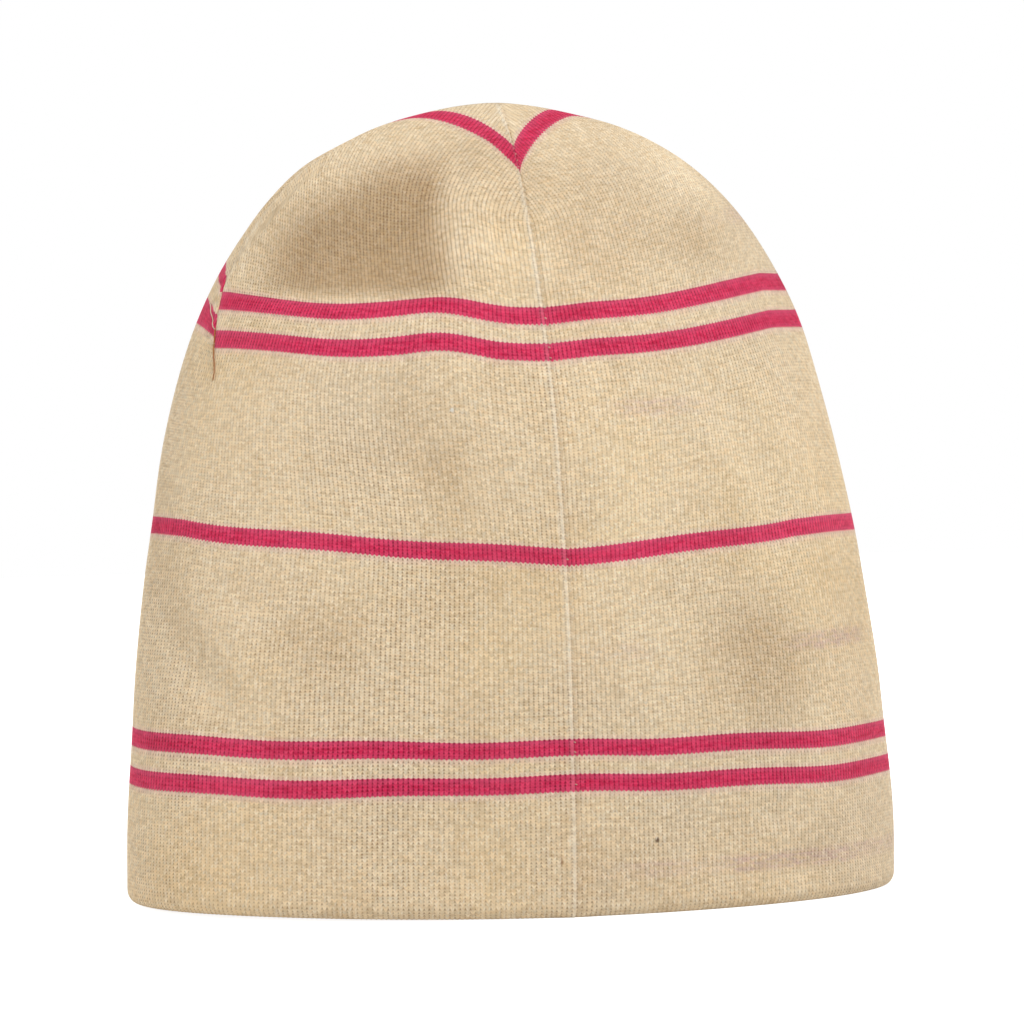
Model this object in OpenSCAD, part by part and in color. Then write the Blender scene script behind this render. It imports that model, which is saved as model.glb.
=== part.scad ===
// Double-layer knit beanie: one striped jersey tube, folded at the hem, so that it makes an outer
// shell and an inner lining, closed by a back seam and four crown darts in each layer.
// It stands on its rim. +Z is up, +Y is the wearer's front, and the back seam is at -Y.
// All lengths are in millimetres.

/* [Opening and height] */
// Width of the rim across the ears, outside
rim_width = 220; // [190:1:240]
// Depth of the rim from brow to nape, outside
rim_depth = 140; // [120:1:180]
// Height from the rim to the top of the crown
height = 223; // [200:1:240]
// Share of the width that the body loses between rim and crown before it rounds over
body_taper = 0.12; // [0:0.01:0.2]
// How square the shoulder of the crown is
crown_power = 4.1; // [3:0.1:5]

/* [Fabric] */
// Thickness of each knitted layer, at the sides
layer_thickness = 1.5; // [1.3:0.1:1.8]
// Space between the layers, where the seam allowances lie
layer_gap = 2.4; // [2:0.1:3]
// Height of the folded edge at the rim
fold_height = 4; // [3:0.5:6]
// Rounding of the folded edge
fold_rounding = 1; // [0.4:0.1:1.1]

/* [Outer stripes] */
// Height of the lowest stripe's lower edge
low_stripe_z = 35; // [28:0.1:40]
// Width of each stripe, along the height
stripe_width = 4.7; // [3:0.1:6]
// Width of the plain band between two paired stripes
paired_gap = 5.1; // [3:0.1:7]
// Height of the single stripe's lower edge
mid_stripe_z = 102.5; // [80:0.1:120]
// Height of the upper pair's lower edge
high_stripe_z = 156.5; // [140:0.1:165]
// Distance from the crown's axis to the crown stripe's corners at the ears
crown_stripe_x = 30; // [24:1:34]
// Distance from the crown's axis to the crown stripe's corners at front and back
crown_stripe_y = 33; // [26:1:36]
// Width of the crown stripe along a line from the axis to its corner
crown_stripe_width = 7.6; // [5:0.1:9]

/* [Lining stripes] */
// Heights of the lower edges of the four stripes in the lining
lining_stripes_z = [10, 70, 136, 188]; // [8:1:190]

/* [Seams] */
// Width of a seam's overlocked allowance, which lies flat between the layers
seam_width = 8; // [5:0.5:10]
// Height at which the side darts start
side_dart_z = 155; // [140:1:170]
// Angle by which the left dart lies behind the ear
left_dart_lean = 12; // [0:1:15]
// Height at which the front dart starts
front_dart_z = 186; // [170:1:195]
// Clear radius at the crown, where the seams stop short of the tack
seam_stop_radius = 9; // [7:0.5:12]
// Radius of the tack that holds the two crowns together
tack_radius = 4; // [3:0.5:5]
// Length of the loose thread end at the foot of the left dart
thread_end_length = 12; // [6:1:20]
// Thickness of that thread
thread_diameter = 0.8; // [0.5:0.1:1]

/* [Hidden] */
$fn = 64;

cream = [0.86, 0.79, 0.64];
fuchsia = [0.80, 0.16, 0.36];
lining_cream = [0.90, 0.85, 0.74];
lining_fuchsia = [0.74, 0.30, 0.44];
thread_white = [0.93, 0.89, 0.82];
thread_rust = [0.66, 0.36, 0.18];

// How far each surface lies inside the outermost one, at the sides
shell_inner = layer_thickness;
lining_outer = layer_thickness + layer_gap;
lining_inner = 2 * layer_thickness + layer_gap;
// The gap is shared by the shell's seams and the lining's seams
seam_clearance = layer_gap * 0.05;
gap_middle = layer_thickness + layer_gap / 2;
// The shell turns down by this much over the tack
tack_clearance = 0.3;

depth_ratio = rim_depth / rim_width;
low_stripe_2_z = low_stripe_z + stripe_width + paired_gap;
high_stripe_2_z = high_stripe_z + stripe_width + paired_gap;
crown_base_z = high_stripe_2_z + stripe_width;
left_dart_turn = 180 + left_dart_lean;
right_dart_turn = 0;
// The left dart slants towards the back at its foot, where its thread comes out
thread_end_turn = left_dart_turn + 5;
step = 9;

// Radius of the surface that lies `inset` inside the outermost one, at height z, before flattening
function radius_at(z, inset) =
    let (t = min(z / (height - inset), 1))
    (rim_width / 2 - inset) * (1 - body_taper * t) * sqrt(max(0, 1 - pow(t, crown_power)));

// Heights from low to high, closer together near the top of the crown where the surface turns over
function heights(low, high, inset) =
    let (top = min(high, height - inset), count = max(1, ceil((top - low) / step)))
    [for (i = [0 : count])
        top >= height - inset - 0.01
            ? low + (top - low) * sin(90 * i / count)
            : low + (top - low) * i / count];

function edge(low, high, inset) = [for (z = heights(low, high, inset)) [radius_at(z, inset), z]];

function reversed(list) = [for (i = [len(list) - 1 : -1 : 0]) list[i]];

// Flattens a round shape to the oval of the head
module to_oval() {
    $turn = 0;
    $sweep = 360;
    scale([1, depth_ratio, 1]) children();
}

// The same, one quarter of the way round at a time, for a shape that goes all round the head
module to_oval_by_quarters() {
    for (turn = [0 : 90 : 270]) {
        $turn = turn;
        $sweep = 90;
        scale([1, depth_ratio, 1]) children();
    }
}

// A profile swept round the axis, all the way or for one quarter, as the caller has set
module sweep_round() {
    rotate([0, 0, $turn]) rotate_extrude(angle = $sweep, $fn = 64) children();
}

// One ring of fabric between two heights and two insets, still round
module round_band(low, high, outside, inside) {
    sweep_round()
        polygon(concat(edge(low, high, outside), reversed(edge(low, high, inside))));
}

// The closed dome of fabric above a height, still round
module round_dome(low, outside, inside) {
    sweep_round()
        polygon(concat(
            edge(low, height, outside),
            reversed(edge(low, height - inside, inside))
        ));
}

// A diamond prism round the crown's axis, whose corners are `less` inside the crown stripe's corners
module crown_diamond(less) {
    x = crown_stripe_x - less;
    y = (crown_stripe_y - less) / depth_ratio;
    translate([0, 0, crown_base_z])
        linear_extrude(height)
            polygon([[x, 0], [0, y], [-x, 0], [0, -y]]);
}

module outer_band(low, high, shade) {
    color(shade) to_oval_by_quarters() round_band(low, high, 0, shell_inner);
}

module lining_band(low, high, shade) {
    color(shade) to_oval_by_quarters() round_band(low, high, lining_outer, lining_inner);
}

// A slab through the axis towards +X, turned to the named side, as wide as a seam on the finished oval
module seam_slab(turn, low) {
    on_side = abs(sin(turn)) < 0.5;
    slab_width = on_side ? seam_width / depth_ratio : seam_width;
    rotate([0, 0, turn])
        translate([0, -slab_width / 2, low])
            cube([rim_width, slab_width, height]);
}

// A seam's flat allowance with its overlock thread, in its half of the gap
module seam(turn, low, outside, inside) {
    color(thread_white) to_oval() difference() {
        intersection() {
            round_dome(low, outside, inside);
            seam_slab(turn, low);
        }
        cylinder(h = 2 * height, r = seam_stop_radius);
    }
}

module shell_seam(turn, low) {
    seam(turn, low, shell_inner + seam_clearance, gap_middle - seam_clearance);
}

module lining_seam(turn, low) {
    seam(turn, low, gap_middle + seam_clearance, lining_outer - seam_clearance);
}

// The folded edge: a channel that joins the shell to the lining, with a flat foot
module hem_fold() {
    outer = rim_width / 2;
    inner = outer - lining_inner;
    color(cream) to_oval_by_quarters() sweep_round() difference() {
        union() {
            translate([inner, fold_rounding]) square([lining_inner, fold_height - fold_rounding]);
            translate([inner + fold_rounding, 0]) square([lining_inner - 2 * fold_rounding, fold_height]);
            translate([inner + fold_rounding, fold_rounding]) circle(fold_rounding, $fn = 24);
            translate([outer - fold_rounding, fold_rounding]) circle(fold_rounding, $fn = 24);
        }
        translate([inner + layer_thickness, layer_thickness]) square([layer_gap, fold_height]);
    }
}

module hem_band() { outer_band(fold_height, low_stripe_z, cream); }
module low_stripe_lower() { outer_band(low_stripe_z, low_stripe_z + stripe_width, fuchsia); }
module low_gap() { outer_band(low_stripe_z + stripe_width, low_stripe_2_z, cream); }
module low_stripe_upper() { outer_band(low_stripe_2_z, low_stripe_2_z + stripe_width, fuchsia); }
module lower_body() { outer_band(low_stripe_2_z + stripe_width, mid_stripe_z, cream); }
module mid_stripe() { outer_band(mid_stripe_z, mid_stripe_z + stripe_width, fuchsia); }
module upper_body() { outer_band(mid_stripe_z + stripe_width, high_stripe_z, cream); }
module high_stripe_lower() { outer_band(high_stripe_z, high_stripe_z + stripe_width, fuchsia); }
module high_gap() { outer_band(high_stripe_z + stripe_width, high_stripe_2_z, cream); }
module high_stripe_upper() { outer_band(high_stripe_2_z, crown_base_z, fuchsia); }

module crown_body() {
    color(cream) to_oval_by_quarters() difference() {
        round_dome(crown_base_z, 0, shell_inner);
        crown_diamond(0);
    }
}

// The crown stripe runs straight between the darts, so it makes a diamond and points down each dart
module crown_stripe() {
    color(fuchsia) to_oval() intersection() {
        round_dome(crown_base_z, 0, shell_inner);
        difference() {
            crown_diamond(0);
            crown_diamond(crown_stripe_width);
        }
    }
}

module crown_tip() {
    color(cream) to_oval() intersection() {
        round_dome(crown_base_z, 0, shell_inner);
        crown_diamond(crown_stripe_width);
    }
}

module lining_stripe(index) {
    lining_band(lining_stripes_z[index], lining_stripes_z[index] + stripe_width, lining_fuchsia);
}

module lining_between(index) {
    lining_band(lining_stripes_z[index] + stripe_width, lining_stripes_z[index + 1], lining_cream);
}

module lining_hem() { lining_band(fold_height, lining_stripes_z[0], lining_cream); }
module lining_stripe_1() { lining_stripe(0); }
module lining_lower() { lining_between(0); }
module lining_stripe_2() { lining_stripe(1); }
module lining_middle() { lining_between(1); }
module lining_stripe_3() { lining_stripe(2); }
module lining_upper() { lining_between(2); }
module lining_stripe_4() { lining_stripe(3); }

module lining_crown() {
    color(lining_cream) to_oval_by_quarters()
        round_dome(lining_stripes_z[3] + stripe_width, lining_outer, lining_inner);
}

module back_seam() { shell_seam(-90, fold_height); }
module front_dart() { shell_seam(90, front_dart_z); }
module left_dart() { shell_seam(left_dart_turn, side_dart_z); }
module right_dart() { shell_seam(right_dart_turn, side_dart_z); }
module lining_back_seam() { lining_seam(-90, fold_height); }
module lining_front_dart() { lining_seam(90, front_dart_z); }
module lining_left_dart() { lining_seam(left_dart_turn, side_dart_z); }
module lining_right_dart() { lining_seam(right_dart_turn, side_dart_z); }

// A short button of thread that holds the lining's crown to the shell's
module crown_tack() {
    color(thread_white)
        translate([0, 0, height - lining_outer])
            cylinder(h = layer_gap - tack_clearance, r = tack_radius);
}

// The loose end of the dart's thread, lying on the outside just below the left dart
module thread_end() {
    top = side_dart_z - 1;
    lean = atan((radius_at(top - thread_end_length, 0) - radius_at(top, 0)) / thread_end_length);
    clear = thread_diameter / 2 + 0.1;
    reach = radius_at(top, 0) + clear;
    color(thread_rust)
        translate([reach * cos(thread_end_turn), depth_ratio * reach * sin(thread_end_turn), top])
            rotate([0, 180 + lean, (thread_end_turn - 180) / depth_ratio])
                cylinder(h = thread_end_length, d = thread_diameter, $fn = 24);
}

hem_fold();
hem_band();
low_stripe_lower();
low_gap();
low_stripe_upper();
lower_body();
mid_stripe();
upper_body();
high_stripe_lower();
high_gap();
high_stripe_upper();
crown_body();
crown_stripe();
crown_tip();
lining_hem();
lining_stripe_1();
lining_lower();
lining_stripe_2();
lining_middle();
lining_stripe_3();
lining_upper();
lining_stripe_4();
lining_crown();
back_seam();
front_dart();
left_dart();
right_dart();
lining_back_seam();
lining_front_dart();
lining_left_dart();
lining_right_dart();
crown_tack();
thread_end();
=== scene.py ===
"""Knit beanie: the looks of a double-layer jersey beanie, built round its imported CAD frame.

Shapes are worked out in millimetres and turned into metres when a mesh is made.
The hat stands on its rim. +Z is up, +Y is the wearer's front, and the back seam is at -Y.
Across the fabric, s is the distance round the hat from the back seam, positive towards +X.
"""

import math

import bpy
import numpy as np
from mathutils import Matrix, Vector


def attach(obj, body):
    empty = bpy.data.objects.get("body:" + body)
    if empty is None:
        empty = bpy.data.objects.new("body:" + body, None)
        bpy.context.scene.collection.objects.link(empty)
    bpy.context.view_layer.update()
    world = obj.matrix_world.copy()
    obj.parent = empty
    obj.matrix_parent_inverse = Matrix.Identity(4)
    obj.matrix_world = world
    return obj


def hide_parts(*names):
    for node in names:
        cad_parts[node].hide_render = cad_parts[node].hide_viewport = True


MM = 0.001
HEIGHT = 223.0
RIM_HALF_WIDTH = 110.0
RIM_HALF_DEPTH = 70.0

# The fold's height, how close it comes to the floor, and each layer's surfaces measured inwards
FOLD_HEIGHT = 4.0
RESTING_HEIGHT = 0.02
LAYER = 1.3
LINING_OUTER = 3.9
LINING_INNER = 5.4

# The fuchsia stripes: their width, the gap between paired ones, and the heights of their lower edges
STRIPE = 4.7
PAIRED_GAP = 5.1
LOW_STRIPE = 35.0
MID_STRIPE = 102.5
HIGH_STRIPE = 156.5
LOW_STRIPE_2 = LOW_STRIPE + STRIPE + PAIRED_GAP
HIGH_STRIPE_2 = HIGH_STRIPE + STRIPE + PAIRED_GAP
CROWN_BASE = HIGH_STRIPE_2 + STRIPE
LINING_STRIPES = (10.0, 70.0, 136.0, 188.0)

# The knit's gauge: wales (columns of stitches) round the hat, and the height of a course (row)
WALES = 409
COURSE = 0.9
RIDGE = 0.08
BACK_DART_START = 188.0
SIDE_DART_START = 152.0

# Where the crown stripe's two edges cross the back seam and the side darts
CROWN_OUTER = {"back": 202.7, "side": 217.6}
CROWN_INNER = {"back": 209.8, "side": 220.4}


def smooth(low, high, x):
    t = np.clip((x - low) / (high - low), 0, 1)
    return t * t * (3 - 2 * t)


def bell(x, centre, spread):
    return np.exp(-(((x - centre) / spread) ** 2))


def peak(x, low, centre, high):
    """1 at the centre, falling smoothly to 0 at low and high."""
    return smooth(low, centre, x) * (1 - smooth(centre, high, x))


# Painted shade on the yarn in the dents and folds, where shade falls (below zero, painted light): (amount,
# (s, z), half-lengths)
PAINTED_SHADE_AND_LIGHT_SPOTS = (
    (0.10, (-30, 122), (9, 20)),
    (0.05, (-38, 138), (9, 16)),
    (0.18, (60, 70), (17, 17)),
    (0.12, (52, 184), (13, 8)),
    (0.08, (104, 72), (14, 34)),
    (0.08, (-72, 76), (12, 12)),
    (0.06, (4, 203), (7, 9)),
    (0.11, (20, 193), (27, 19)),
    (0.13, (-16, 209), (13, 8)),
    (0.06, (80, 17), (12, 9)),
    (-0.15, (60, 203), (14, 10)),
    (-0.08, (-8, 183), (16, 7)),
    (-0.08, (17, 88), (12, 38)),
    (-0.06, (14, 20), (13, 18)),
)

# The soft folds besides the big dent: (outwards in mm, (s, z), half-lengths, slope in degrees)
FOLDS = (
    (1.4, (-17, 190), (5, 18), -6),
    (0.55, (-13, 187), (15, 2.6), 88),
    (-0.6, (-8, 187), (15, 2.6), 89),
    (0.5, (-4, 187), (15, 2.6), 90),
    (-0.6, (7, 187), (15, 2.6), 91),
    (0.45, (14, 187), (15, 2.6), 92),
    (-0.8, (24, 186), (16, 4), 80),
    (0.9, (60, 188), (12, 16), 0),
    (-1.5, (-42, 133), (19, 6), 84),
    (0.9, (-55, 128), (22, 9), 84),
    (-0.8, (-15, 147), (9, 3), 80),
    (1.2, (-9, 134), (12, 6), 90),
    (1.0, (14, 126), (20, 9), 96),
    (-1.5, (57, 132), (23, 6), -62),
    (0.9, (47, 125), (20, 7), -62),
    (-1.7, (-107, 66), (20, 7), -46),
    (0.9, (-95, 76), (20, 8), -46),
    (-1.2, (50, 74), (16, 8), 70),
    (-0.6, (-36, 80), (22, 6), 88),
    (-0.9, (62, 25), (8, 5), 0),
    (-0.9, (74, 10), (9, 6), 0),
)

# ---------------------------------------------------------------- the hat's form


def half_width(z, inset=0.0):
    t = np.clip(z / (HEIGHT - inset), 0, 1)
    spread_foot = 0.7 * (1 - smooth(20, 90, z))
    return (RIM_HALF_WIDTH - inset) * (1 - 0.3612 * t**1.969) * (1 - t**10.187) ** 0.5865 + spread_foot


def half_depth(z, inset=0.0):
    t = np.clip(z / (HEIGHT - inset), 0, 1)
    return (RIM_HALF_DEPTH - inset) * (1 - t**2.8) ** 0.85


def lean(z):
    """How far the hat's sides lean towards +X at each height: the body more than the crown."""
    return 1.6 - 2.5 * smooth(20, 150, z) - 0.9 * smooth(185, 220, z)


def place(phi, z, inset=0.0):
    """The point on the surface at an angle round the hat, measured from the back seam, and a height."""
    x = half_width(z, inset) * np.sin(phi) + lean(z) * np.sin(phi) ** 2
    y = -half_depth(z, inset) * np.cos(phi)
    return x, y


def left_dart_angle(z):
    """The left dart slants back at its foot."""
    return -np.radians(np.minimum(71.5 + 0.4 * np.maximum(z - 150, 0), 90))


def right_dart_angle(z):
    return np.radians(np.full_like(z, 90.0))


def on_side_darts(z):
    return smooth(SIDE_DART_START - 2, SIDE_DART_START + 5, z)


def valley(s, floor, left, right, reach_left, reach_right):
    """A V-shaped dip at the back seam that levels out at the sides."""
    away = np.where(s < 0, np.minimum(-s, reach_left) * left, np.minimum(s, reach_right) * right)
    return floor + away


def low_shift(s):
    return -0.45 + 0.7 * bell(s, -135, 30) - 2.0 * smooth(0, 110, s) - 0.25 * bell(s, 20, 14)


def mid_shift(s):
    return valley(s, -6.45, 0.074, 0.072, 112, 74)


def high_shift(s):
    left_rise = 1.9 * bell(s, -29, 12) - 0.5 * bell(s, -57, 12)
    return valley(s, -4.85, 0.052, 0.1, 90, 76) + left_rise - 0.9 * bell(s, 28, 15)


def course_shift(s, phi, z, past_left, past_right):
    """How far a course lies above its level ring. past_left and past_right are how far in front of a dart."""
    low = 1 - smooth(42, 105, z)
    high = smooth(105, 163, z)
    shift = smooth(0, 36, z) * low * low_shift(s)
    shift += (1 - low) * (1 - high) * mid_shift(s)
    shift += high * high_shift(s)
    shift += 0.9 * np.clip((z - 42) / 8, -1, 1) * bell(z, 42, 14) * smooth(-20, -80, s)
    shift += 0.5 * np.clip((z - 164) / 6, -1, 1) * bell(z, 164, 12) * (1 - bell(s, 0, 25))
    shift += 0.25 * np.sin(s / 8.5 + z / 30) * smooth(4, 30, z)
    shift += 1.1 * smooth(10, -110, s) * (1 - smooth(4, 40, z))
    shift *= 1 - smooth(math.radians(95), math.radians(165), np.abs(phi))
    reach = peak(z, 142, 166, 208)
    for past in (past_left, past_right):
        out = np.maximum(past, 0) / 24.0
        step = 4.0 * smooth(-0.3, 0.9, past) * (1 - smooth(12, 60, past))
        shift += (step + 7.0 * out * np.exp(1 - out)) * reach
    return shift


def spot(s, z, at, size, turn=0.0):
    """A soft oval patch: at is its (s, z) centre, size its two half-lengths, turn its slope in degrees."""
    c, n = math.cos(math.radians(turn)), math.sin(math.radians(turn))
    along = (s - at[0]) * c + (z - at[1]) * n
    across = (z - at[1]) * c - (s - at[0]) * n
    return np.exp(-((along / size[0]) ** 2) - (across / size[1]) ** 2)


def hollow(s, z, foot, floor, top):
    """The big soft dent at the upper left of the back, from 0 to 1. Its right rim is abrupt."""
    sideways = smooth(-92, -62, s) * (1 - smooth(-37, -19, s))
    return sideways * np.where(z > floor, 1 - smooth(floor, top, z), smooth(foot, floor, z))


def painted_shade_and_light(s, z):
    """Painted shade, from 0 to 1: how much darker the yarn is painted in the big dent and at the listed
    spots, where shade falls. Spots below zero paint light.
    """
    top = 208 + 0.45 * np.clip(s + 48, -30, 8)
    sideways = smooth(-88, -69, s) * (1 - smooth(-31, -20, s))
    w = 0.34 * sideways * smooth(168, 176, z) * (1 - smooth(top - 12, top + 2, z))
    for amount, at, size in PAINTED_SHADE_AND_LIGHT_SPOTS:
        w += amount * spot(s, z, at, size)
    return w * smooth(0, 5, z)


def dents(s, z):
    """The soft dents and folds of a worn hat that keeps its shape, outwards in millimetres."""
    d = -7.0 * hollow(s, z, 164, 181, 207)
    for amount, at, size, slope in FOLDS:
        d += amount * spot(s, z, at, size, slope)
    d += 0.45 * np.sin(s / 11 + 1.3 * np.sin(z / 17)) * np.sin(z / 19 + 0.7)
    d += 0.35 * np.sin(s / 23 - z / 31 + 1.1)
    return d * smooth(0, 12, z) * (1 - smooth(212, 221, z))


# ---------------------------------------------------------------- rows and rings of the outer shell


def spread_rows(low, high, spacing):
    count = max(1, round((high - low) / spacing))
    return list(np.linspace(low, high, count + 1))


def long_band_rows(low, high):
    """Rows across a wide band, closer together at its two toothed edges."""
    return [low, low + COURSE] + spread_rows(low + 2 * COURSE, high - 2 * COURSE, 1.8) + [high - COURSE, high]


BAND_EDGES = [
    ("hem_band", FOLD_HEIGHT, LOW_STRIPE),
    ("low_stripe_lower", LOW_STRIPE, LOW_STRIPE + STRIPE),
    ("low_gap", LOW_STRIPE + STRIPE, LOW_STRIPE_2),
    ("low_stripe_upper", LOW_STRIPE_2, LOW_STRIPE_2 + STRIPE),
    ("lower_body", LOW_STRIPE_2 + STRIPE, MID_STRIPE),
    ("mid_stripe", MID_STRIPE, MID_STRIPE + STRIPE),
    ("upper_body", MID_STRIPE + STRIPE, HIGH_STRIPE),
    ("high_stripe_lower", HIGH_STRIPE, HIGH_STRIPE + STRIPE),
    ("high_gap", HIGH_STRIPE + STRIPE, HIGH_STRIPE_2),
    ("high_stripe_upper", HIGH_STRIPE_2, CROWN_BASE),
]
CROWN_FOOT = {"back": CROWN_BASE, "side": CROWN_BASE}
# Each crown band's lower and upper edge, and how many rows it takes. The tip's upper edge is the apex.
CROWN_BANDS = (
    ("crown_body", CROWN_FOOT, CROWN_OUTER, 40),
    ("crown_stripe", CROWN_OUTER, CROWN_INNER, 8),
    ("crown_tip", CROWN_INNER, None, 14),
)
ROUND = 2.0
FOUR_CORNERED = 0.78


def ring_table(x, y, z, phi):
    """A dense closed ring as arrays, with the distance s from its back seam point."""
    step = np.sqrt(np.diff(x) ** 2 + np.diff(y) ** 2 + np.diff(z) ** 2)
    s = np.concatenate([[0], np.cumsum(step)])
    return {"x": x, "y": y, "z": z, "phi": phi, "s": s - s[len(s) // 2]}


def level_ring(z, inset=0.0, samples=2400):
    phi = np.linspace(-math.pi, math.pi, samples + 1)
    level = np.full_like(phi, z)
    x, y = place(phi, level, inset)
    return ring_table(x, y, level, phi)


def height_at(x, y):
    """The surface's height over a plan point, found by halving."""
    low = np.full_like(x, CROWN_BASE - 25)
    high = np.full_like(x, HEIGHT)
    for _ in range(34):
        mid = (low + high) / 2
        a, b = np.maximum(half_width(mid), 1e-6), np.maximum(half_depth(mid), 1e-6)
        outside = (x / a) ** 2 + (y / b) ** 2 > 1
        high = np.where(outside, mid, high)
        low = np.where(outside, low, mid)
    return (low + high) / 2


def crown_ring(back_z, side_z, roundness, samples=4800):
    """A course of the crown: a ring at roundness 2, and a four-cornered star below 1."""
    theta = np.linspace(-math.pi, math.pi, samples + 1)
    a, b = half_width(np.array(side_z)), half_depth(np.array(back_z))
    power = 2 / roundness
    x = a * np.sign(np.sin(theta)) * np.abs(np.sin(theta)) ** power
    y = -b * np.sign(np.cos(theta)) * np.abs(np.cos(theta)) ** power
    z = height_at(x, y)
    phi = np.arctan2(x / half_width(z).clip(1e-6), -y / half_depth(z).clip(1e-6))
    x = x + lean(z) * np.sin(phi) ** 2
    return ring_table(x, y, z, phi)


def column_list():
    """Two columns a wale, one in the groove and one on the ridge, and finer ones beside the back seam."""
    near_seam = 7
    fine = np.arange(-near_seam, near_seam + 0.01, 0.25)
    coarse = np.arange(near_seam + 1, 2 * WALES - near_seam)
    return np.concatenate([fine[fine >= 0], coarse, fine[fine < 0] + 2 * WALES])


COLUMNS = column_list()


def column_share(crowding):
    """Each column's share of the way round, from -0.5 to 0.5; crowding packs the wales at the sides."""
    f = COLUMNS / (2 * WALES)
    f = np.where(f > 0.5, f - 1, f)
    return f + crowding * np.sin(4 * math.pi * f) / (4 * math.pi)


def inverse_of(profile, value):
    """The height at which a profile that narrows upwards has a value, found by halving."""
    low, high = 100.0, HEIGHT
    for _ in range(40):
        mid = (low + high) / 2
        if profile(np.array(mid)) > value:
            low = mid
        else:
            high = mid
    return (low + high) / 2


def crown_course(name, foot, head, t):
    """The crown's ring at a share t of the way from a band's lower edge to its upper one."""
    reach = half_width(np.array(foot["side"]))
    if name == "crown_tip":
        # even steps along the surface near the apex, where height hardly changes
        left = 1 - t * 0.985
        back = inverse_of(half_depth, half_depth(np.array(foot["back"])) * left)
        return crown_ring(back, inverse_of(half_width, reach * left), FOUR_CORNERED + 0.9 * t**2)
    turn, roundness = t, FOUR_CORNERED
    if name == "crown_body":
        turn, roundness = t**0.85, ROUND - (ROUND - FOUR_CORNERED) * t**1.5
    back = foot["back"] + (head["back"] - foot["back"]) * turn
    side = inverse_of(half_width, reach + (half_width(np.array(head["side"])) - reach) * t)
    return crown_ring(back, side, roundness)


def shell_rows():
    """Every row of the outer shell from the fold to the apex, and the rows that each band spans."""
    rings, spans, heights = [], {}, []
    for name, low, high in BAND_EDGES:
        narrow = high - low < 10
        levels = spread_rows(low, high, 0.94) if narrow else long_band_rows(low, high)
        first = max(0, len(rings) - 1)
        for z in levels if not rings else levels[1:]:
            rings.append(level_ring(z))
            heights.append(z)
        spans[name] = (first, len(rings) - 1)
    for name, foot, head, count in CROWN_BANDS:
        first = len(rings) - 1
        for i in range(1, count + 1):
            rings.append(crown_course(name, foot, head, i / count))
            heights.append(CROWN_BASE)
        spans[name] = (first, len(rings) - 1)
    return rings, spans, np.array(heights)


def unit(v):
    return v / np.maximum(np.linalg.norm(v, axis=-1, keepdims=True), 1e-12)


def base_frame(phi, z):
    """The undented surface's unit normal, and its unit tangents round the hat and up it."""
    step = 0.01
    z = np.clip(z, step, HEIGHT - 0.05)
    x1, y1 = place(phi - step, z)
    x2, y2 = place(phi + step, z)
    round_hat = unit(np.stack([x2 - x1, y2 - y1, np.zeros_like(x1)], -1))
    x1, y1 = place(phi, z - step)
    x2, y2 = place(phi, z + step)
    up = unit(np.stack([x2 - x1, y2 - y1, np.full_like(x1, 2 * step)], -1))
    normal = unit(np.cross(round_hat, up))
    return normal, round_hat, unit(np.cross(normal, round_hat))


def dented_normal(s, phi, z):
    """The surface's unit normal once its dents are in."""
    normal, round_hat, up = base_frame(phi, z)
    step = 0.5
    slope_round = (dents(s + step, z) - dents(s - step, z)) / (2 * step)
    slope_up = (dents(s, z + step * up[..., 2]) - dents(s, z - step * up[..., 2])) / (2 * step)
    return unit(normal - slope_round[..., None] * round_hat - slope_up[..., None] * up)


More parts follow.
